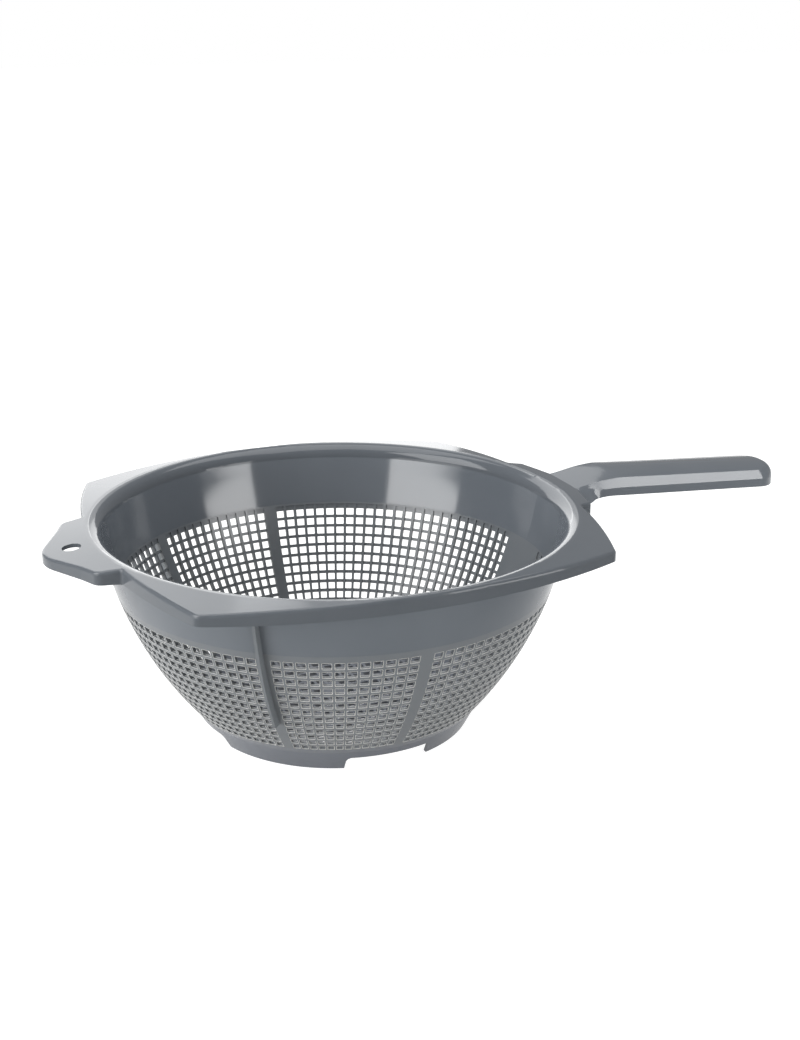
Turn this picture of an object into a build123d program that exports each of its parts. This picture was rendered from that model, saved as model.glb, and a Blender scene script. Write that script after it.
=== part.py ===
"""A plastic colander: a bowl with mesh sides, a four-cornered rim, a hanging tab and a channel handle.

Millimetres, +Z up. The table is Z = 0, the handle runs along +X, and the origin is on the table
under the middle of the whole colander, so the bowl's axis stands at X = bowl_x.
The real colander is one moulding. Each sub-part below is one feature of that moulding, and
neighbouring sub-parts meet face to face.
"""

import os
from math import asin, atan2, cos, hypot, pi, radians, sin, sqrt, tan

from build123d import *

os.makedirs("parts", exist_ok=True)

# Whole colander: reaches are measured from the bowl's axis
tab_reach = 140.0
handle_reach = 248.5
rim_height = 104.0
skirt_bottom = 96.9
wall = 1.8
cut_overrun = 2.0

# Bowl wall: its outer face is one arc, turned about the axis
foot_height = 10.5
wall_foot_radius = 71.0
wall_shoulder_height = 88.0
wall_shoulder_radius = 110.0
wall_curve_radius = 180.0

# Base: a flat disc with square holes, and the corner where it turns up into the wall
base_thickness = 1.8
base_cove = 2.6
base_hole = 3.7
base_hole_pitch = 5.1
base_plain_edge = 5.0
base_plain_middle = 6.0

# Foot: a ring under the base, with notches that leave pads to stand on
foot_radius = 65.5
foot_wall = 2.2
foot_pad_height = 4.2
foot_pads = 4
notch_height = 6.8
notch_angle = 36.7
notch_rounding = 2.4

# Mesh: windows in columns round the bowl and rows up its wall
rows = 13
row_pitch = 5.107
window_height = 3.55
top_row_height = 68.5
window_share = 0.745
mesh_margin = 1.0
groove_depth = 0.6
groove_lead = 2.6
tab_side_columns = 33
middle_columns = 12
handle_side_columns = 26
strips = 4
solid_section_angle = 16.5

# Rim: a sloping brim with bowed sides, and a skirt that hangs from its edge
rim_rounding = 7.5
brim_slope = 6.2
rim_mid_reach = 116.3
rim_mid_half_width = 118.4
rim_corner_reach = 98.2
rim_corner_rounding = 5.0
rim_corner_inset_share = 0.774
brim_edge_rounding = 1.6
step_rounding = 2.0

# Hanging tab
tab_step_reach = 112.0
tab_step_half_width = 39.3
tab_shoulder_reach = 124.3
tab_shoulder_half_width = 36.6
tab_waist_half_width = 26.5
tab_waist_rounding = 14.0
tab_shoulder_rounding = 5.0
tab_flank_angle = 28.4
tab_tip_rounding = 22.0
hang_hole_reach = 127.0
hang_hole_radius = 4.4

# Handle: a plate that widens the brim, a root that flares from it and a channel to hold
plate_step_reach = 112.0
plate_step_half_width = 39.3
plate_shoulder_reach = 120.3
plate_shoulder_half_width = 36.5
plate_neck_reach = 126.1
root_flare = 17.0
ramp_start_reach = 123.5
ramp_start_height = 103.1
ramp_angle = 13.5
ramp_rounding = 75.0
handle_top_reach = 156.4
handle_top_height = 107.5
handle_slope = 3.9
handle_half_width = 13.0
handle_depth = 10.6
handle_wall = 2.0
handle_end_rounding = 11.0
handle_shoulder_rounding = 4.5
handle_lift_reach = 148.0

# Fins that stiffen the rim on the tab side
fin_angle = 0.7
fin_depth = 4.6
fin_bottom_height = 31.5
fin_tip_rise = 3.0

# Places worked out from the sizes
bowl_x = (tab_reach - handle_reach) / 2
bowl_axis = Axis((bowl_x, 0, 0), (0, 0, 1))
column_pitch = (360 - solid_section_angle) / (
    tab_side_columns + 2 * middle_columns + 2 * handle_side_columns + strips
)
window_angle = window_share * column_pitch


def section_plane(angle):
    """The upright plane through the bowl's axis, turned by angle from the handle."""
    turn = radians(angle)
    return Plane(origin=(bowl_x, 0, 0), x_dir=(cos(turn), sin(turn), 0), z_dir=(sin(turn), -cos(turn), 0))


def level_plane(height):
    """The flat plane at a height, with its middle on the bowl's axis."""
    return Plane(origin=(bowl_x, 0, height))


# The wall's arc, in the section plane: radius across, height up
wall_rise = wall_shoulder_height - foot_height
wall_flare = wall_shoulder_radius - wall_foot_radius
wall_half_chord = hypot(wall_rise, wall_flare) / 2
chord_to_centre = sqrt(wall_curve_radius**2 - wall_half_chord**2)
wall_centre_x = (wall_foot_radius + wall_shoulder_radius) / 2
wall_centre_x -= chord_to_centre * wall_rise / (2 * wall_half_chord)
wall_centre_z = (foot_height + wall_shoulder_height) / 2
wall_centre_z += chord_to_centre * wall_flare / (2 * wall_half_chord)


def on_wall(angle, depth):
    """A point of the wall's section, depth inside its outer face, at an angle of its arc in radians."""
    radius = wall_curve_radius - depth
    return (wall_centre_x + radius * cos(angle), wall_centre_z + radius * sin(angle))


def wall_angle(height, depth=0):
    """The angle of the wall's arc at which the face that lies depth inside has that height."""
    return asin((height - wall_centre_z) / (wall_curve_radius - depth))


# Rim roll: the bowl's inner face turns outwards about this centre and becomes the brim
roll_z = rim_height - rim_rounding
roll_distance = wall_curve_radius - wall + rim_rounding
roll_x = wall_centre_x + sqrt(roll_distance**2 - (roll_z - wall_centre_z) ** 2)
rim_join_angle = atan2(roll_z - wall_centre_z, roll_x - wall_centre_x)

# Mesh rows, as angles of the wall's arc
row_step = row_pitch / wall_curve_radius
half_window = window_height / 2 / wall_curve_radius
top_row_angle = wall_angle(top_row_height)
window_top_angle = top_row_angle + half_window
window_bottom_angle = top_row_angle - (rows - 1) * row_step - half_window
groove_top_angle = window_top_angle + groove_lead / wall_curve_radius
mesh_top_angle = groove_top_angle + mesh_margin / wall_curve_radius
mesh_bottom_angle = window_bottom_angle - mesh_margin / wall_curve_radius


def wall_band(plane, low_angle, high_angle, outer_depth, inner_depth):
    """The wall's section between two angles of its arc and two depths below its outer face."""
    middle = (low_angle + high_angle) / 2
    with BuildSketch(plane) as band:
        with BuildLine():
            Line(on_wall(low_angle, outer_depth), on_wall(low_angle, inner_depth))
            ThreePointArc(
                on_wall(low_angle, inner_depth), on_wall(middle, inner_depth), on_wall(high_angle, inner_depth)
            )
            Line(on_wall(high_angle, inner_depth), on_wall(high_angle, outer_depth))
            ThreePointArc(
                on_wall(high_angle, outer_depth), on_wall(middle, outer_depth), on_wall(low_angle, outer_depth)
            )
        make_face()
    return band.sketch


# Mesh panels, and the plain strips between them
# One comb cuts one column of windows: a shallow groove in the inner face with a tooth for each window,
# so that the upright bars stand proud inside and the level bars lie back.
with BuildPart() as column_comb:
    with BuildSketch(Plane.XZ):
        add(wall_band(Plane.XY, window_bottom_angle, groove_top_angle, wall - groove_depth, wall + cut_overrun))
        for row in range(rows):
            row_angle = top_row_angle - row * row_step
            with BuildLine():
                Polyline(
                    on_wall(row_angle - half_window, -cut_overrun),
                    on_wall(row_angle + half_window, -cut_overrun),
                    on_wall(row_angle + half_window, wall + cut_overrun),
                    on_wall(row_angle - half_window, wall + cut_overrun),
                    close=True,
                )
            make_face()
    revolve(axis=Axis.Z, revolution_arc=window_angle)


def make_strip(start, sweep):
    """A plain upright stretch of the mesh zone's wall, from start degrees round the axis."""
    with BuildPart() as strip:
        band = wall_band(section_plane(start), mesh_bottom_angle, mesh_top_angle, 0, wall)
        revolve(band, axis=bowl_axis, revolution_arc=sweep)
    return strip.part


def make_mesh_panel(start, columns):
    """A stretch of the mesh zone's wall with its columns of windows, from start degrees round the axis."""
    sweep = columns * column_pitch
    first = start + (column_pitch - window_angle) / 2
    with BuildPart() as panel:
        add(make_strip(start, sweep))
        with Locations((bowl_x, 0)):
            with PolarLocations(0, columns, start_angle=first, angular_range=sweep):
                add(column_comb.part, mode=Mode.SUBTRACT)
    return panel.part


handle_panel_start = solid_section_angle / 2
handle_strip_start = handle_panel_start + handle_side_columns * column_pitch
middle_panel_start = handle_strip_start + column_pitch
tab_strip_start = middle_panel_start + middle_columns * column_pitch
tab_panel_start = tab_strip_start + column_pitch

with BuildPart() as mesh_panel_tab_side:
    add(make_mesh_panel(tab_panel_start, tab_side_columns))
mesh_panel_tab_side.part.label = "mesh_panel_tab_side"
export_step(mesh_panel_tab_side.part, "parts/mesh_panel_tab_side.step")

with BuildPart() as handle_side_wall:
    add(make_strip(-handle_panel_start, solid_section_angle))
handle_side_wall.part.label = "handle_side_wall"
export_step(handle_side_wall.part, "parts/handle_side_wall.step")

# The rest of the mesh zone is the same on the far side (+Y) and the near side (-Y)
far_side_parts = {
    "mesh_panel_handle_side": make_mesh_panel(handle_panel_start, handle_side_columns),
    "wall_strip_handle_side": make_strip(handle_strip_start, column_pitch),
    "mesh_panel_middle": make_mesh_panel(middle_panel_start, middle_columns),
    "wall_strip_tab_side": make_strip(tab_strip_start, column_pitch),
}
for feature, far_part in far_side_parts.items():
    with BuildPart() as far_copy:
        add(far_part)
    far_copy.part.label = feature + "_far"
    export_step(far_copy.part, "parts/" + feature + "_far.step")
    with BuildPart() as near_copy:
        mirror(far_part, about=Plane.XZ)
    near_copy.part.label = feature + "_near"
    export_step(near_copy.part, "parts/" + feature + "_near.step")

# Upper wall: the plain band between the mesh and the rim
with BuildPart() as upper_wall:
    revolve(wall_band(section_plane(0), mesh_top_angle, rim_join_angle, 0, wall), axis=bowl_axis)
upper_wall.part.label = "upper_wall"
export_step(upper_wall.part, "parts/upper_wall.step")

# Base corner: the wall's lowest ring, with a cove inside where it turns into the base
foot_top_angle = wall_angle(foot_height)
cove_top_angle = wall_angle(foot_height + base_cove, wall)
cove_top = on_wall(cove_top_angle, wall)
cove_end = (on_wall(wall_angle(foot_height, wall), wall)[0] - base_cove, foot_height)
with BuildPart() as base_corner:
    with BuildSketch(section_plane(0)):
        with BuildLine():
            Line(cove_end, on_wall(foot_top_angle, 0))
            ThreePointArc(
                on_wall(foot_top_angle, 0),
                on_wall((foot_top_angle + mesh_bottom_angle) / 2, 0),
                on_wall(mesh_bottom_angle, 0),
            )
            Line(on_wall(mesh_bottom_angle, 0), on_wall(mesh_bottom_angle, wall))
            ThreePointArc(
                on_wall(mesh_bottom_angle, wall),
                on_wall((cove_top_angle + mesh_bottom_angle) / 2, wall),
                cove_top,
            )
            Line(cove_top, cove_end)
        make_face()
    revolve(axis=bowl_axis)
base_corner.part.label = "base_corner"
export_step(base_corner.part, "parts/base_corner.step")


def foot_face_radius(height, inset):
    """The foot's outer radius at a height, less inset: a straight taper up to the wall."""
    return foot_radius + (wall_foot_radius - foot_radius) * height / foot_height - inset


def foot_band(low, high):
    """The foot's section between two heights."""
    with BuildSketch(section_plane(0)) as band:
        with BuildLine():
            Polyline(
                (foot_face_radius(low, 0), low),
                (foot_face_radius(high, 0), high),
                (foot_face_radius(high, foot_wall), high),
                (foot_face_radius(low, foot_wall), low),
                close=True,
            )
        make_face()
    return band.sketch


# Base plate: square holes in rows across a round disc, plain in the middle and at the edge
base_bottom = foot_height - base_thickness
base_holes_across = 2 * int(foot_radius / base_hole_pitch) + 1
with BuildPart() as base_plate:
    with BuildSketch(section_plane(0)):
        with BuildLine():
            Polyline(
                (0, base_bottom),
                (foot_face_radius(base_bottom, foot_wall), base_bottom),
                (foot_face_radius(foot_height, foot_wall), foot_height),
                (0, foot_height),
                close=True,
            )
        make_face()
    revolve(axis=bowl_axis)
    with BuildSketch(level_plane(base_bottom - cut_overrun)) as base_holes:
        with GridLocations(base_hole_pitch, base_hole_pitch, base_holes_across, base_holes_across) as grid:
            hole_places = [
                place
                for place in grid.local_locations
                if base_plain_middle < place.position.length < foot_radius - foot_wall - base_plain_edge
            ]
        with Locations(*hole_places):
            Rectangle(base_hole, base_hole)
    extrude(amount=base_thickness + 2 * cut_overrun, mode=Mode.SUBTRACT)
base_plate.part.label = "base_plate"
export_step(base_plate.part, "parts/base_plate.step")

# Foot: a whole ring above, and four pads below it between the notches
with BuildPart() as notch_cutter:
    with BuildSketch(Plane.YZ) as notch:
        with Locations((0, notch_height - foot_height / 2)):
            Rectangle(2 * foot_radius * sin(radians(notch_angle / 2)), foot_height)
        fillet(notch.vertices().group_by(Axis.Z)[-1], notch_rounding)
    extrude(amount=wall_foot_radius + cut_overrun)

with BuildPart() as foot_ring:
    revolve(foot_band(foot_pad_height, foot_height), axis=bowl_axis)
    with Locations((bowl_x, 0)):
        with PolarLocations(0, foot_pads):
            add(notch_cutter.part, mode=Mode.SUBTRACT)
foot_ring.part.label = "foot_ring"
export_step(foot_ring.part, "parts/foot_ring.step")

pad_spacing = 360 / foot_pads
with BuildPart() as first_pad:
    revolve(foot_band(0, foot_pad_height), axis=bowl_axis, revolution_arc=pad_spacing)
    with Locations((bowl_x, 0)):
        with PolarLocations(0, foot_pads):
            add(notch_cutter.part, mode=Mode.SUBTRACT)
for pad in range(foot_pads):
    with BuildPart() as foot_pad:
        add(first_pad.part.rotate(bowl_axis, pad * pad_spacing))
    foot_pad.part.label = "foot_pad_" + str(pad + 1)
    export_step(foot_pad.part, "parts/" + foot_pad.part.label + ".step")

# Outlines of the rim, the tab, the handle's plate and the handle, seen from above
def rim_shape(inset):
    """The rim's four bowed sides, moved in by inset."""
    corner = rim_corner_reach - inset * rim_corner_inset_share
    reach = rim_mid_reach - inset
    half_width = rim_mid_half_width - inset
    with BuildSketch() as shape:
        with BuildLine():
            ThreePointArc((corner, -corner), (reach, 0), (corner, corner))
            ThreePointArc((corner, corner), (0, half_width), (-corner, corner))
            ThreePointArc((-corner, corner), (-reach, 0), (-corner, -corner))
            ThreePointArc((-corner, -corner), (0, -half_width), (corner, -corner))
        make_face()
        fillet(shape.vertices(), rim_corner_rounding - inset)
    return shape.sketch


with BuildSketch() as rim_outline:
    add(rim_shape(0))

flank_run = tan(radians(tab_flank_angle))
tab_apex_reach = tab_reach + tab_tip_rounding * (1 / cos(radians(tab_flank_angle)) - 1)
tab_waist_reach = tab_apex_reach - tab_waist_half_width * flank_run
with BuildSketch() as tab_outline:
    with BuildLine():
        FilletPolyline(
            (0, 0),
            (-tab_step_reach, tab_step_half_width),
            (-tab_shoulder_reach, tab_shoulder_half_width),
            (-tab_waist_reach, tab_waist_half_width),
            (-tab_apex_reach, 0),
            (-tab_waist_reach, -tab_waist_half_width),
            (-tab_shoulder_reach, -tab_shoulder_half_width),
            (-tab_step_reach, -tab_step_half_width),
            radius=[
                0,
                0,
                tab_shoulder_rounding,
                tab_waist_rounding,
                tab_tip_rounding,
                tab_waist_rounding,
                tab_shoulder_rounding,
                0,
            ],
            close=True,
        )
    make_face()

with BuildSketch() as plate_outline:
    with BuildLine():
        FilletPolyline(
            (0, 0),
            (plate_step_reach, plate_step_half_width),
            (plate_shoulder_reach, plate_shoulder_half_width),
            (plate_neck_reach, handle_half_width),
            (plate_neck_reach, -handle_half_width),
            (plate_shoulder_reach, -plate_shoulder_half_width),
            (plate_step_reach, -plate_step_half_width),
            radius=[0, 0, step_rounding, 0, 0, step_rounding, 0],
            close=True,
        )
    make_face()

with BuildSketch() as handle_outline:
    with BuildLine():
        FilletPolyline(
            (0, 0),
            (plate_shoulder_reach, plate_shoulder_half_width),
            (plate_neck_reach, handle_half_width),
            (handle_reach, handle_half_width),
            (handle_reach, -handle_half_width),
            (plate_neck_reach, -handle_half_width),
            (plate_shoulder_reach, -plate_shoulder_half_width),
            radius=[0, 0, root_flare, handle_end_rounding, handle_end_rounding, root_flare, 0],
            close=True,
        )
    make_face()

# The brim's outline is all of these but the handle, with the inner corners of the steps rounded
with BuildSketch() as brim_outline:
    add(rim_outline.sketch)
    add(tab_outline.sketch)
    add(plate_outline.sketch)
    step_corners = [
        vertex
        for vertex in brim_outline.vertices()
        if tab_step_half_width - step_rounding < abs(vertex.Y) < tab_step_half_width + step_rounding
    ]
    fillet(step_corners, step_rounding)

# Brim: a solid block under the brim's top face, trimmed to its outline, with its edge rounded
slope = radians(brim_slope)
brim_blank_reach = tab_reach + cut_overrun


def under_brim(drop, floor, floor_radius):
    """The section of all that lies below the brim's top face, lowered by drop, down to floor."""
    roll_radius = rim_rounding - drop
    roll_end = (roll_x + roll_radius * sin(slope), roll_z + roll_radius * cos(slope))
    roll_middle_angle = (rim_join_angle + pi + pi / 2 - slope) / 2
    roll_middle = (roll_x + roll_radius * cos(roll_middle_angle), roll_z + roll_radius * sin(roll_middle_angle))
    edge_height = roll_end[1] - (brim_blank_reach - roll_end[0]) * tan(slope)
    outer_join = on_wall(rim_join_angle, 0)
    with BuildSketch(section_plane(0)) as section:
        with BuildLine():
            ThreePointArc(on_wall(rim_join_angle, wall - drop), roll_middle, roll_end)
            Polyline(
                roll_end,
                (brim_blank_reach, edge_height),
                (brim_blank_reach, floor),
                (floor_radius, floor),
                outer_join,
            )
            if drop < wall:
                Line(outer_join, on_wall(rim_join_angle, wall - drop))
        make_face()
    return section.sketch


skirt_foot_radius = on_wall(wall_angle(skirt_bottom), 0)[0]
with BuildPart() as brim_block:
    revolve(under_brim(0, skirt_bottom, skirt_foot_radius), axis=bowl_axis)
    with BuildSketch(level_plane(0)):
        add(brim_outline.sketch)
    extrude(amount=rim_height + cut_overrun, mode=Mode.INTERSECT)
    upright_faces = brim_block.faces().filter_by(GeomType.PLANE) + brim_block.faces().filter_by(GeomType.CYLINDER)
    outline_faces = [face for face in upright_faces if abs(face.normal_at().Z) < abs(sin(slope)) / 2]
    top_edges = [
        edge
        for face in outline_faces
        for edge in face.edges()
        if edge.center().Z > face.center().Z and abs(edge.tangent_at(0.5).Z) < cos(slope) / 2
    ]
    fillet(top_edges, brim_edge_rounding)

# The hollow under the brim, wall thickness below its top face
with BuildPart() as brim_hollow:
    revolve(
        under_brim(wall, skirt_bottom - cut_overrun, on_wall(wall_angle(skirt_bottom), wall / 2)[0]),
        axis=bowl_axis,
    )

with BuildPart() as rim_prism:
    with BuildSketch(level_plane(0)):
        add(rim_outline.sketch)
    extrude(amount=rim_height + cut_overrun)

# Rim flange: the brim's top, inside the rim's outline
with BuildPart() as rim_flange:
    add(brim_block.part)
    add(rim_prism.part, mode=Mode.INTERSECT)
    add(brim_hollow.part, mode=Mode.SUBTRACT)
rim_flange.part.label = "rim_flange"
export_step(rim_flange.part, "parts/rim_flange.step")

# Rim skirt: the edge that hangs all round below the flange
with BuildPart() as rim_skirt:
    with BuildSketch(level_plane(skirt_bottom)):
        add(rim_outline.sketch)
        add(rim_shape(wall), mode=Mode.SUBTRACT)
    extrude(amount=rim_height - skirt_bottom)
    add(brim_hollow.part, mode=Mode.INTERSECT)
rim_skirt.part.label = "rim_skirt"
export_step(rim_skirt.part, "parts/rim_skirt.step")

# The tab and the handle's plate are what the brim has outside the rim's outline, hollow below
with BuildPart() as outer_hollow:
    add(brim_hollow.part)
    with BuildSketch(level_plane(0)):
        add(brim_outline.sketch)
        offset(amount=-wall, mode=Mode.REPLACE)
    extrude(amount=rim_height, mode=Mode.INTERSECT)

bowl_middle = Plane(origin=(bowl_x, 0, 0), x_dir=(0, 1, 0), z_dir=(1, 0, 0))
with BuildPart() as hanging_tab:
    add(brim_block.part)
    add(rim_prism.part, mode=Mode.SUBTRACT)
    split(bisect_by=bowl_middle, keep=Keep.BOTTOM)
    add(outer_hollow.part, mode=Mode.SUBTRACT)
    with Locations((bowl_x - hang_hole_reach, 0, rim_height)):
        Cylinder(hang_hole_radius, rim_height, mode=Mode.SUBTRACT)
hanging_tab.part.label = "hanging_tab"
export_step(hanging_tab.part, "parts/hanging_tab.step")

with BuildPart() as handle_plate:
    add(brim_block.part)
    add(rim_prism.part, mode=Mode.SUBTRACT)
    split(bisect_by=bowl_middle, keep=Keep.TOP)
    add(outer_hollow.part, mode=Mode.SUBTRACT)
handle_plate.part.label = "handle_plate"
export_step(handle_plate.part, "parts/handle_plate.step")

# Handle: its side view, a ramp up from the plate and then a straight bar that slopes down
top_fall = tan(radians(handle_slope))
ramp_rise = tan(radians(ramp_angle))


def handle_top_at(reach):
    """The height of the straight bar's top line at a reach."""
    return handle_top_height - top_fall * (reach - handle_top_reach)


peak_reach = handle_top_at(0) - ramp_start_height + ramp_rise * ramp_start_reach
peak_reach /= ramp_rise + top_fall
bar_end = handle_reach + cut_overrun


def handle_side(drop, start, low_extra):
    """The handle's side view with its top lowered by drop and its underside by low_extra."""
    start_height = ramp_start_height + ramp_rise * (start - ramp_start_reach) - drop
    with BuildSketch(section_plane(0)) as side:
        with BuildLine():
            FilletPolyline(
                (start, start_height),
                (peak_reach, handle_top_at(peak_reach) - drop),
                (bar_end, handle_top_at(bar_end) - drop),
                (bar_end, handle_top_at(bar_end) - handle_depth - low_extra),
                (handle_lift_reach, handle_top_at(handle_lift_reach) - handle_depth - low_extra),
                (brim_blank_reach, skirt_bottom - low_extra),
                (start, skirt_bottom - low_extra),
                radius=[0, ramp_rounding, 0, 0, 0, 0, 0],
                close=True,
            )
        make_face()
    return side.sketch


def handle_form(side, inset, rounding):
    """The handle's side view trimmed to its outline less inset, with its upper edges rounded."""
    with BuildPart() as form:
        extrude(side, amount=plate_shoulder_half_width, both=True)
        with BuildSketch(level_plane(0)):
            add(handle_outline.sketch)
            if inset:
                offset(amount=-inset, mode=Mode.REPLACE)
        extrude(amount=2 * rim_height, mode=Mode.INTERSECT)
        start_x = form.part.bounding_box().min.X
        upper_edges = [
            edge
            for face in form.faces()
            if abs(face.normal_at().Z) < ramp_rise / 2
            for edge in face.edges()
            if edge.center().Z > face.center().Z
            and abs(edge.tangent_at(0.5).Z) < cos(slope) / 2
            and edge.bounding_box().max.X - start_x > wall
        ]
        fillet(upper_edges, rounding)
    return form.part


with BuildPart() as handle_shell:
    add(handle_form(handle_side(0, ramp_start_reach, 0), 0, handle_shoulder_rounding))
    add(
        handle_form(
            handle_side(handle_wall, plate_neck_reach, cut_overrun),
            handle_wall,
            handle_shoulder_rounding - handle_wall,
        ),
        mode=Mode.SUBTRACT,
    )
    add(brim_block.part, mode=Mode.SUBTRACT)

root_end = bowl_middle.offset(brim_blank_reach)
with BuildPart() as handle_root:
    add(handle_shell.part)
    split(bisect_by=root_end, keep=Keep.BOTTOM)
handle_root.part.label = "handle_root"
export_step(handle_root.part, "parts/handle_root.step")

with BuildPart() as handle_grip:
    add(handle_shell.part)
    split(bisect_by=root_end, keep=Keep.TOP)
handle_grip.part.label = "handle_grip"
export_step(handle_grip.part, "parts/handle_grip.step")

# Fins: one blade on each of the two strips of the tab side, from the mesh up to the flange
fin_low_angle = wall_angle(fin_bottom_height)
fin_tip_angle = wall_angle(fin_bottom_height + fin_tip_rise)
fin_middle_angle = (fin_tip_angle + rim_join_angle) / 2
fin_centre_angle = tab_strip_start + column_pitch / 2
with BuildPart() as fin_room:
    revolve(
        under_brim(wall, fin_bottom_height - cut_overrun, on_wall(fin_low_angle, wall)[0]),
        axis=bowl_axis,
    )
with BuildPart() as fin_far:
    with BuildSketch(section_plane(fin_centre_angle - fin_angle / 2)):
        with BuildLine():
            Line(on_wall(fin_low_angle, 0), on_wall(fin_tip_angle, -fin_depth))
            ThreePointArc(
                on_wall(fin_tip_angle, -fin_depth),
                on_wall(fin_middle_angle, -fin_depth),
                on_wall(rim_join_angle, -fin_depth),
            )
            Polyline(
                on_wall(rim_join_angle, -fin_depth),
                (on_wall(rim_join_angle, -fin_depth)[0], rim_height),
                (on_wall(rim_join_angle, 0)[0], rim_height),
                on_wall(rim_join_angle, 0),
            )
            ThreePointArc(
                on_wall(rim_join_angle, 0),
                on_wall((fin_low_angle + rim_join_angle) / 2, 0),
                on_wall(fin_low_angle, 0),
            )
        make_face()
    revolve(axis=bowl_axis, revolution_arc=fin_angle)
    add(fin_room.part, mode=Mode.INTERSECT)
fin_far.part.label = "fin_far"
export_step(fin_far.part, "parts/fin_far.step")

with BuildPart() as fin_near:
    mirror(fin_far.part, about=Plane.XZ)
fin_near.part.label = "fin_near"
export_step(fin_near.part, "parts/fin_near.step")
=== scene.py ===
"""A grey polypropylene colander on a white sweep, lit by soft boxes and seen from 19 degrees above."""

from collections import namedtuple
from math import cos, pi, radians, sin, sqrt

import bmesh
import bpy
from mathutils import Matrix, Vector


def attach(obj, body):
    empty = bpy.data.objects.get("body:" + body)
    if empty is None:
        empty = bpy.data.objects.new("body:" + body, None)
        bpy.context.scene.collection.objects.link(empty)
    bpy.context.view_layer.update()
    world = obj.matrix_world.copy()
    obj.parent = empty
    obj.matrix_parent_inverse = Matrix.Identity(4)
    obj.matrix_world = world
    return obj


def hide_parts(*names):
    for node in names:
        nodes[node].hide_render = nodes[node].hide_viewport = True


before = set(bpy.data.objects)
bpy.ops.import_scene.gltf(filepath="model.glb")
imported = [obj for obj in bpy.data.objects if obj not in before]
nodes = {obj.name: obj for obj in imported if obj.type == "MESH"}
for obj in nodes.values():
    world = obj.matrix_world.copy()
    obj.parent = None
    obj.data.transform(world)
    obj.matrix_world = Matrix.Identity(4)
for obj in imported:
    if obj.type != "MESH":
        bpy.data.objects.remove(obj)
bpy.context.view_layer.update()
scene = bpy.context.scene
scene.view_settings.view_transform = "Standard"

# Base and foot
# A flat disc with square drain holes, the corner where it turns up into the wall, and a tapered ring
# below with four pads to stand on. They are part of the one injection moulding, in grey polypropylene.


def linear(hex_colour):
    """An sRGB hex colour as linear red, green, blue and 1 for alpha."""
    channels = [int(hex_colour[i : i + 2], 16) / 255 for i in (1, 3, 5)]
    return tuple(c / 12.92 if c <= 0.04045 else ((c + 0.055) / 1.055) ** 2.4 for c in channels) + (1,)


def add_node(tree, kind, settings=None, links=None):
    """Add a node; settings set its properties and sockets, links join sockets, by name or number."""
    node = tree.nodes.new(kind)
    for name, value in (settings or {}).items():
        if isinstance(name, int) or name in node.inputs:
            node.inputs[name].default_value = value
        else:
            setattr(node, name, value)
    for name, source in (links or {}).items():
        tree.links.new(source, node.inputs[name])
    return node


def moulded_polypropylene(name, colour, deep_colour, haze, ripple_depth):
    """Grey polypropylene from a polished mould: soft gloss, faint ripples where it cooled, fine haze."""
    material = bpy.data.materials.new(name)
    material.use_nodes = True
    tree = material.node_tree
    shader = tree.nodes["Principled BSDF"]
    shader.inputs["IOR"].default_value = 1.49
    place = add_node(tree, "ShaderNodeTexCoord").outputs["Object"]
    # Pigment: clouds about 40 mm across where the melt flowed, within a few percent of one grey
    flow = add_node(tree, "ShaderNodeTexNoise", {"Scale": 25.0, "Detail": 3.0}, {"Vector": place})
    pigment = add_node(tree, "ShaderNodeValToRGB", None, {"Fac": flow.outputs["Fac"]})
    deep, pale = pigment.color_ramp.elements
    deep.position = 0.3
    deep.color = linear(deep_colour)
    pale.position = 0.7
    pale.color = linear(colour)
    tree.links.new(pigment.outputs["Color"], shader.inputs["Base Color"])
    # Haze: grains about 0.6 mm across in the gloss
    haze_spread = 0.03
    grain = add_node(tree, "ShaderNodeTexNoise", {"Scale": 1600.0, "Detail": 2.0}, {"Vector": place})
    gloss = add_node(
        tree, "ShaderNodeMapRange", {"To Min": haze - haze_spread, "To Max": haze + haze_spread},
        {"Value": grain.outputs["Fac"]})
    tree.links.new(gloss.outputs["Result"], shader.inputs["Roughness"])
    # Ripples: the wall sinks by hundredths of a millimetre over about 30 mm
    ripple = add_node(tree, "ShaderNodeTexNoise", {"Scale": 34.0, "Detail": 1.0}, {"Vector": place})
    sink = add_node(
        tree, "ShaderNodeBump", {"Strength": 1.0, "Distance": ripple_depth},
        {"Height": ripple.outputs["Fac"]})
    fine = add_node(
        tree, "ShaderNodeBump", {"Strength": 0.1, "Distance": 0.00002},
        {"Height": grain.outputs["Fac"], "Normal": sink.outputs["Normal"]})
    tree.links.new(fine.outputs["Normal"], shader.inputs["Normal"])
    return material


def finish_node(name, material, smooth_below=32):
    """Give a CAD node its material, and shade it smooth where its faces meet at a small angle."""
    obj = nodes[name]
    obj.data.materials.clear()
    obj.data.materials.append(material)
    obj.data.shade_smooth()
    obj.data.set_sharp_from_angle(angle=radians(smooth_below))


foot_polypropylene = moulded_polypropylene("polypropylene_foot", "#666a71", "#62666d", 0.22, 0.00006)
for name in nodes:
    if name.startswith(("base_", "foot_")):
        finish_node(name, foot_polypropylene)

# Mesh sides
# Columns of square windows, moulded with the wall in one shot. Round each window the outer edge is
# painted a paler grey, a painted highlight on the edge. The inside keeps the grey of the wall.
wall_colour = "#65696d"
wall_deep_colour = "#616569"
# The pale grey painted on the outer window edges as a highlight
edge_highlight_colour = "#b4b4b1"
wall_haze = 0.22
wall_ripple = 0.00004
bowl_axis = (-0.05425, 0, 0)
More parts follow.
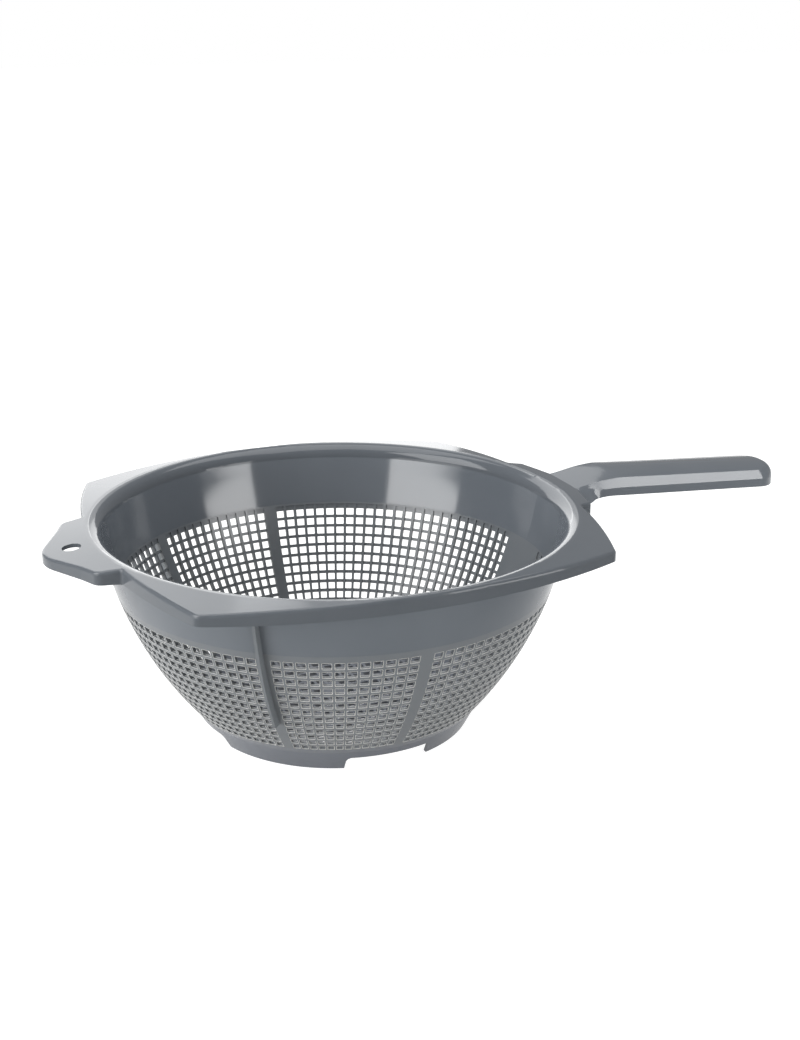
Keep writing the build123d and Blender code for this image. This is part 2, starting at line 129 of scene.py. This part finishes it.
# How far from an edge it is pale, a column's angle (113 columns, strips among them, in 343.5 degrees), how
# much of a column on each side of its middle holds the window, and the heights between which windows lie
edge_width = 0.0006
column_angle = radians(343.5 / 113)
column_reach = 0.44
lowest_edge = 0.0136
highest_edge = 0.072
mesh_polypropylene = moulded_polypropylene(
    "polypropylene_mesh", wall_colour, wall_deep_colour, wall_haze, wall_ripple)
mesh_tree = mesh_polypropylene.node_tree
place = add_node(mesh_tree, "ShaderNodeTexCoord").outputs["Object"]
flat_normal = add_node(mesh_tree, "ShaderNodeNewGeometry").outputs["True Normal"]
# How far the surface faces away from the bowl's axis, from -1 inside to 1 outside
from_axis = add_node(mesh_tree, "ShaderNodeVectorMath", {"operation": "SUBTRACT", 1: bowl_axis}, {0: place})
level = add_node(
    mesh_tree, "ShaderNodeVectorMath", {"operation": "MULTIPLY", 1: (1, 1, 0)}, {0: from_axis.outputs[0]})
outward = add_node(mesh_tree, "ShaderNodeVectorMath", {"operation": "NORMALIZE"}, {0: level.outputs[0]})
facing = add_node(
    mesh_tree, "ShaderNodeVectorMath", {"operation": "DOT_PRODUCT"}, {0: outward.outputs[0], 1: flat_normal})
outside = add_node(
    mesh_tree, "ShaderNodeMapRange", {"From Min": -0.1, "From Max": 0.3}, {"Value": facing.outputs["Value"]})
# Within about half a millimetre of an edge the rounded normal turns away from the flat one
rounding = add_node(mesh_tree, "ShaderNodeBevel", {"samples": 8, "Radius": edge_width})
turned = add_node(
    mesh_tree, "ShaderNodeVectorMath", {"operation": "DOT_PRODUCT"},
    {0: rounding.outputs["Normal"], 1: flat_normal})
near_edge = add_node(
    mesh_tree, "ShaderNodeMapRange", {"From Min": 0.99, "From Max": 0.9}, {"Value": turned.outputs["Value"]})
# Only round the windows, not along the borders of a stretch of mesh. Columns of windows stand at equal
# angles from the tab's side, and each window lies well inside its column and between two heights.
axes = add_node(mesh_tree, "ShaderNodeSeparateXYZ", None, {"Vector": from_axis.outputs[0]})
towards_tab = add_node(
    mesh_tree, "ShaderNodeMath", {"operation": "MULTIPLY", 1: -1.0}, {0: axes.outputs["X"]})
round_bowl = add_node(
    mesh_tree, "ShaderNodeMath", {"operation": "ARCTAN2"}, {0: axes.outputs["Y"], 1: towards_tab.outputs[0]})
in_columns = add_node(
    mesh_tree, "ShaderNodeMath", {"operation": "DIVIDE", 1: column_angle}, {0: round_bowl.outputs[0]})
off_centre = add_node(
    mesh_tree, "ShaderNodeMath", {"operation": "PINGPONG", 1: 0.5}, {0: in_columns.outputs[0]})
in_column = add_node(
    mesh_tree, "ShaderNodeMath", {"operation": "LESS_THAN", 1: column_reach}, {0: off_centre.outputs[0]})
above_foot = add_node(
    mesh_tree, "ShaderNodeMath", {"operation": "GREATER_THAN", 1: lowest_edge}, {0: axes.outputs["Z"]})
below_band = add_node(
    mesh_tree, "ShaderNodeMath", {"operation": "LESS_THAN", 1: highest_edge}, {0: axes.outputs["Z"]})
# Painted highlight: where this mask is one, the window's outer edge is mixed towards a pale grey
painted_highlight_mask = outside.outputs[0]
for limit in (near_edge, in_column, above_foot, below_band):
    both = add_node(mesh_tree, "ShaderNodeMath", {"operation": "MULTIPLY"}, {0: painted_highlight_mask, 1: limit.outputs[0]})
    painted_highlight_mask = both.outputs[0]
mesh_shader = mesh_tree.nodes["Principled BSDF"]
painted_edge_highlight = add_node(
    mesh_tree, "ShaderNodeMixRGB", {"Color2": linear(edge_highlight_colour)},
    {"Fac": painted_highlight_mask, "Color1": mesh_shader.inputs["Base Color"].links[0].from_socket})
mesh_tree.links.new(painted_edge_highlight.outputs[0], mesh_shader.inputs["Base Color"])
for name in nodes:
    if name.startswith("mesh_"):
        finish_node(name, mesh_polypropylene)

# Strips, plain wall and fins
# The solid stretches between the windows, the plain wall below the handle and the two thin fins under
# the rim. They are the same wall in the same shot, with no window edges to show.
strip_polypropylene = moulded_polypropylene(
    "polypropylene_strip", wall_colour, wall_deep_colour, wall_haze, wall_ripple)
for name in nodes:
    if name.startswith(("wall_strip_", "handle_side_wall", "fin_")):
        finish_node(name, strip_polypropylene)

# Upper wall, rim and tab
# The plain band above the windows rolls out into the sloping brim, whose edge turns down as a skirt.
# The mould is best polished here, so the inside mirrors the lamps in clear patches.
rim_polypropylene = moulded_polypropylene("polypropylene_rim", "#5f646a", "#5b6066", 0.1, 0.00005)
for name in ("upper_wall", "rim_flange", "rim_skirt", "hanging_tab", "handle_plate"):
    finish_node(name, rim_polypropylene)

# Handle
# A channel moulded with the rim: a flat ramp climbs from the brim and ends in a tongue on a long, slightly
# crowned top. Its sides lean out and end in a short upright lip, it is open below, and its tip is domed.
# All lengths here are millimetres, along the handle from the bowl's axis, as in the CAD model.
handle_polypropylene = moulded_polypropylene("polypropylene_handle", "#5f646a", "#5b6066", 0.13, 0.00003)
axis_x = -54.25
# A section across the handle: how far along it stands, half width and height of the top's edge, rise of the
# top's middle above that edge, then half width and height of the lip's start and of the lip's foot
Station = namedtuple(
    "Station", "reach shoulder_half shoulder_height crown lip_half lip_height foot_half foot_height")
stations = (
    Station(121.0, 14.5, 102.71, 0.3, 15.3, 102.0, 25.5, 96.9),
    Station(124.5, 14.0, 103.31, 0.3, 14.6, 102.8, 23.6, 96.9),
    Station(128.0, 13.7, 103.95, 0.3, 14.2, 103.2, 21.8, 96.9),
    Station(131.0, 13.7, 104.50, 0.2, 14.4, 102.6, 19.6, 96.9),
    Station(135.0, 13.8, 105.25, 0.2, 14.9, 101.9, 16.6, 97.1),
    Station(140.0, 14.0, 105.75, 0.4, 15.5, 101.4, 15.6, 97.3),
    Station(145.0, 14.2, 106.10, 0.8, 15.8, 101.4, 15.8, 97.4),
    Station(150.0, 14.4, 106.20, 1.25, 16.0, 101.3, 16.0, 97.1),
    Station(165.0, 14.4, 105.09, 2.2, 16.0, 100.27, 16.0, 96.04),
    Station(250.0, 14.4, 98.78, 2.2, 16.0, 94.44, 16.0, 90.05),
)
# The flat ramp out of the brim, and how softly it meets the top of the bar
ramp_start = 123.0
ramp_start_height = 103.05
ramp_slope = 0.171
crease_softness = 0.12
# The rounded tip: its end, its corner radius, how far the top's edge draws in, and the turn that takes
tip_reach = 248.4
tip_rounding = 14.0
tip_dome = 6.0
tip_blend = radians(60)
shell = 2.0
# How finely the skin is divided: steps along the root, which changes fast, and along the plain bar, steps
# round the tip and up a side, and places up the lip and from the top's edge to near its middle
bar_start = 153.0
root_step = 0.75
bar_step = 4.0
tip_steps = 18
side_steps = 8
lip_shares = (0.0, 0.15, 0.5, 0.85)
top_shares = (0.95, 0.88, 0.78, 0.66, 0.54, 0.42, 0.3, 0.2, 0.08)


def along_handle(name, reach):
    """A station's size at any reach, on a smooth curve through the stations."""
    last = len(stations) - 1
    i = max([k for k in range(last) if stations[k].reach <= reach], default=0)
    values = [getattr(station, name) for station in stations]
    slopes = []
    for k in (i, i + 1):
        before, after = max(k - 1, 0), min(k + 1, last)
        slopes.append((values[after] - values[before]) / (stations[after].reach - stations[before].reach))
    span = stations[i + 1].reach - stations[i].reach
    share = (reach - stations[i].reach) / span
    rise = (values[i + 1] - values[i]) * share * share * (3 - 2 * share)
    return values[i] + rise + span * share * (1 - share) * ((1 - share) * slopes[0] - share * slopes[1])


def top_height(reach, across):
    """Height of the top: the lower of the ramp and the crowned bar, with a soft crease between them."""
    crown = along_handle("crown", reach) * (1 - (across / along_handle("shoulder_half", reach)) ** 2)
    bar = along_handle("shoulder_height", reach) + crown
    ramp = ramp_start_height + ramp_slope * (reach - ramp_start)
    return (ramp + bar) / 2 - sqrt(((ramp - bar) / 2) ** 2 + crease_softness**2)


def side_section(reach, turn, spread, inset):
    """One side's points from the foot to near the middle; turn and spread place it round the tip."""
    if turn:
        rounded = min(1.0, turn / tip_blend)
        rounded = rounded * rounded * (3 - 2 * rounded)
        lean = stations[-1].lip_half - stations[-1].shoulder_half
        lip_radius = tip_rounding - inset
        edge_radius = lip_radius - lean - (tip_dome - lean) * rounded
        centre_half = stations[-1].lip_half - tip_rounding
        lip_reach, edge_reach = (reach + radius * sin(turn) for radius in (lip_radius, edge_radius))
        lip_half, edge_half = (
            (centre_half + radius * cos(turn)) * spread for radius in (lip_radius, edge_radius))
        foot_half = lip_half
    else:
        rounded = 0.0
        lip_reach = edge_reach = reach
        lip_half, edge_half, foot_half = (
            along_handle(name, reach) - inset for name in ("lip_half", "shoulder_half", "foot_half"))
    foot_height = along_handle("foot_height", lip_reach)
    lip_height = along_handle("lip_height", lip_reach) - inset / 2
    edge_height = top_height(edge_reach, edge_half) - inset
    points = []
    for share in lip_shares:
        points.append((lip_reach, foot_half + (lip_half - foot_half) * share,
                       foot_height + (lip_height - foot_height) * share))
    for step in range(side_steps + 1):
        share = step / side_steps
        inward = (1 - rounded) * share + rounded * (1 - cos(share * pi / 2))
        upward = (1 - rounded) * share + rounded * sin(share * pi / 2)
        points.append((lip_reach + (edge_reach - lip_reach) * inward,
                       lip_half + (edge_half - lip_half) * inward,
                       lip_height + (edge_height - lip_height) * upward))
    for share in top_shares:
        points.append((edge_reach, edge_half * share, top_height(edge_reach, edge_half * share) - inset))
    return points


def side_rows(inset):
    """The sections of one side, from the root and round the tip to its middle."""
    rows = []
    reach = stations[0].reach
    while reach < tip_reach - tip_rounding:
        rows.append(side_section(reach, 0.0, 1.0, inset))
        reach += root_step if reach < bar_start else bar_step
    for step in range(1, tip_steps + 1):
        rows.append(side_section(tip_reach - tip_rounding, pi / 2 * step / tip_steps, 1.0, inset))
    rows.append(side_section(tip_reach - tip_rounding, pi / 2, 0.0, inset))
    return rows


def handle_mesh():
    """The channel as one closed mesh: outer skin, inner skin, the lip's foot and the root's end."""
    vertices = []
    faces = []

    def skin(rows, flip):
        """Lay one skin's grid of points, near side to far side, and return its vertex numbers."""
        grid = []
        for row in rows:
            near = [(reach, -half, height) for reach, half, height in row]
            far = [(reach, half, height) for reach, half, height in reversed(row)]
            numbers = []
            for reach, across, height in near + far:
                numbers.append(len(vertices))
                vertices.append(((axis_x + reach) / 1000, across / 1000, height / 1000))
            grid.append(numbers)
        for this, other in zip(grid, grid[1:]):
            for column in range(len(this) - 1):
                quad = [this[column], other[column], other[column + 1], this[column + 1]]
                faces.append(quad[::-1] if flip else quad)
        return grid

    outer = skin(side_rows(0.0), False)
    inner = skin(side_rows(shell), True)
    for edge in (0, -1):
        for i in range(len(outer) - 1):
            quad = [outer[i][edge], inner[i][edge], inner[i + 1][edge], outer[i + 1][edge]]
            faces.append(quad if edge == 0 else quad[::-1])
    first_outer, first_inner = outer[0], inner[0]
    for column in range(len(first_outer) - 1):
        faces.append([first_outer[column], first_outer[column + 1],
                      first_inner[column + 1], first_inner[column]])
    mesh = bpy.data.meshes.new("handle_channel")
    mesh.from_pydata(vertices, [], faces)
    return mesh


# Points of the skin that meet at the tip are joined, and its edges show as sharp where faces turn
weld_distance = 0.00001
sharp_above = radians(16)
handle_data = handle_mesh()
welded = bmesh.new()
welded.from_mesh(handle_data)
bmesh.ops.remove_doubles(welded, verts=welded.verts, dist=weld_distance)
bmesh.ops.dissolve_degenerate(welded, dist=weld_distance, edges=welded.edges)
bmesh.ops.recalc_face_normals(welded, faces=welded.faces)
welded.to_mesh(handle_data)
welded.free()
handle = bpy.data.objects.new("handle_channel", handle_data)
scene.collection.objects.link(handle)
handle_data.materials.append(handle_polypropylene)
handle_data.shade_smooth()
handle_data.set_sharp_from_angle(angle=sharp_above)
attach(handle, "root")
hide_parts("handle_root", "handle_grip")

# Sweep
# A wide sheet of matt white paper, flat under the colander and far beyond it. It is lit from behind; in
# the gloss of the plastic it shows as a glowing sheet, painted white at the back and painted dim in front,
# and the camera sees it plain white.
paper_white = bpy.data.materials.new("paper_white")
paper_white.use_nodes = True
sweep_tree = paper_white.node_tree
sweep_shader = sweep_tree.nodes["Principled BSDF"]
sweep_shader.inputs["Base Color"].default_value = linear("#f4f2ee")
sweep_shader.inputs["Roughness"].default_value = 0.9
seen = add_node(sweep_tree, "ShaderNodeLightPath")
# What the camera sees: white, with the shadow under the foot
bright = add_node(sweep_tree, "ShaderNodeEmission", {"Color": linear("#ffffff"), "Strength": 0.92})
dim = add_node(sweep_tree, "ShaderNodeBsdfDiffuse", {"Color": linear("#9c9c9c")})
lifted = add_node(sweep_tree, "ShaderNodeAddShader", None, {0: bright.outputs[0], 1: dim.outputs[0]})
# What gloss and clear things show: a glowing sheet, painted light behind the colander and painted shade in
# front of it
sheet_place = add_node(sweep_tree, "ShaderNodeTexCoord").outputs["Object"]
sheet_axes = add_node(sweep_tree, "ShaderNodeSeparateXYZ", None, {"Vector": sheet_place})
falloff = add_node(
    sweep_tree, "ShaderNodeMapRange", {"From Min": -0.16, "From Max": 0.03, "To Min": 0.12, "To Max": 1.0},
    {"Value": sheet_axes.outputs["Y"]})
sheet_glow = add_node(
    sweep_tree, "ShaderNodeEmission", {"Color": linear("#ffffff")}, {"Strength": falloff.outputs[0]})
mirrored = add_node(
    sweep_tree, "ShaderNodeMath", {"operation": "MAXIMUM"},
    {0: seen.outputs["Is Glossy Ray"], 1: seen.outputs["Is Transmission Ray"]})
in_gloss = add_node(
    sweep_tree, "ShaderNodeMixShader", None,
    {0: mirrored.outputs[0], 1: sweep_shader.outputs[0], 2: sheet_glow.outputs[0]})
shown = add_node(
    sweep_tree, "ShaderNodeMixShader", None,
    {0: seen.outputs["Is Camera Ray"], 1: in_gloss.outputs[0], 2: lifted.outputs[0]})
sweep_tree.links.new(shown.outputs[0], sweep_tree.nodes["Material Output"].inputs["Surface"])
sweep_half = 6.0
sweep_mesh = bpy.data.meshes.new("table_sweep")
sweep_corners = [(x * sweep_half, y * sweep_half, 0) for x, y in ((-1, -1), (1, -1), (1, 1), (-1, 1))]
sweep_mesh.from_pydata(sweep_corners, [], [(0, 1, 2, 3)])
sweep = bpy.data.objects.new("table_sweep", sweep_mesh)
scene.collection.objects.link(sweep)
sweep_mesh.materials.append(paper_white)

# Studio light
# Soft boxes and panels stand round the colander, as in a small photo studio. The two low ones, to each side
# of the camera, draw the two bright patches on the inside wall.
bowl_middle = Vector((-0.05425, 0, 0.06))
# The nearly level brim would mirror the two low boxes as bare white from behind, so it gets dimmer ones
brim = bpy.data.collections.new("brim")
bowl_and_handle = bpy.data.collections.new("bowl_and_handle")
for name, node in nodes.items():
    if name.startswith(("rim_", "hanging_tab", "handle_plate")):
        brim.objects.link(node)
    else:
        bowl_and_handle.objects.link(node)
bowl_and_handle.objects.link(handle)
bowl_and_handle.objects.link(sweep)


def soft_box(name, azimuth, elevation, distance, size, glow, camera_sees=True, shines_on=None):
    """A rectangular light, placed in degrees and metres from the bowl; glow is its power over area and pi."""
    turn, lift = radians(azimuth), radians(elevation)
    away = Vector((cos(turn) * cos(lift), sin(turn) * cos(lift), sin(lift)))
    lamp = bpy.data.lights.new(name, "AREA")
    lamp.shape = "RECTANGLE"
    lamp.size, lamp.size_y = size
    lamp.energy = glow * pi * lamp.size * lamp.size_y
    holder = bpy.data.objects.new(name, lamp)
    holder.location = bowl_middle + distance * away
    holder.rotation_euler = (-away).to_track_quat("-Z", "Y").to_euler()
    holder.visible_camera = camera_sees
    if shines_on:
        holder.light_linking.receiver_collection = shines_on
    scene.collection.objects.link(holder)


soft_box("right_box", -50, 10, 1.6, (0.86, 0.62), 7.8, shines_on=bowl_and_handle)
soft_box("left_box", -162, 9, 1.6, (1.2, 0.62), 8.0, shines_on=bowl_and_handle)
soft_box("right_box_on_brim", -50, 10, 1.6, (0.86, 0.62), 3.4, shines_on=brim)
soft_box("left_box_on_brim", -162, 9, 1.6, (1.2, 0.62), 2.2, shines_on=brim)
# A box high on the left for the outside there, three panels behind, one of them dimmer, for the sheen of the
# brim and the handle, and a box overhead to fill in
soft_box("left_high_box", 178, 42, 2.0, (1.4, 1.4), 4.0)
soft_box("back_panel", 93, 20, 2.2, (1.43, 1.5), 2.0, camera_sees=False)
soft_box("back_low_panel", 69, 8, 2.2, (0.54, 0.72), 2.0, camera_sees=False)
soft_box("back_dim_panel", 69, 28, 2.2, (0.54, 0.8), 0.9, camera_sees=False)
soft_box("overhead_box", 60, 80, 2.0, (2.0, 2.0), 1.9)

# Soft light from all round, and plain white where the camera looks past the sweep
world = bpy.data.worlds.new("studio")
scene.world = world
world.use_nodes = True
world_tree = world.node_tree
room = world_tree.nodes["Background"]
room.inputs["Color"].default_value = linear("#ffffff")
room.inputs["Strength"].default_value = 0.3
backdrop = add_node(world_tree, "ShaderNodeBackground", {"Color": linear("#ffffff"), "Strength": 1.0})
ray = add_node(world_tree, "ShaderNodeLightPath")
sky = add_node(
    world_tree, "ShaderNodeMixShader", None,
    {0: ray.outputs["Is Camera Ray"], 1: room.outputs[0], 2: backdrop.outputs[0]})
world_tree.links.new(sky.outputs[0], world_tree.nodes["World Output"].inputs["Surface"])

# Camera
# A short telephoto lens 0.8 m away, level from side to side, that looks 19 degrees down. Its place and
# direction were fitted to the photo together with the colander's sizes.
camera_place = (-0.31285, -0.6798, 0.3463)
camera_data = bpy.data.cameras.new("camera")
camera_data.sensor_fit = "HORIZONTAL"
camera_data.sensor_width = 36.0
camera_data.lens = 71.8
camera_data.shift_x = 0.00225
camera = bpy.data.objects.new("camera", camera_data)
right = Vector((0.9189, -0.3945, 0.0)).normalized()
forward = Vector((0.3735, 0.8699, -0.3222)).normalized()
turned_to = Matrix((right, right.cross(forward), -forward)).transposed()
camera.matrix_world = Matrix.Translation(camera_place) @ turned_to.to_4x4()
scene.collection.objects.link(camera)
scene.camera = camera
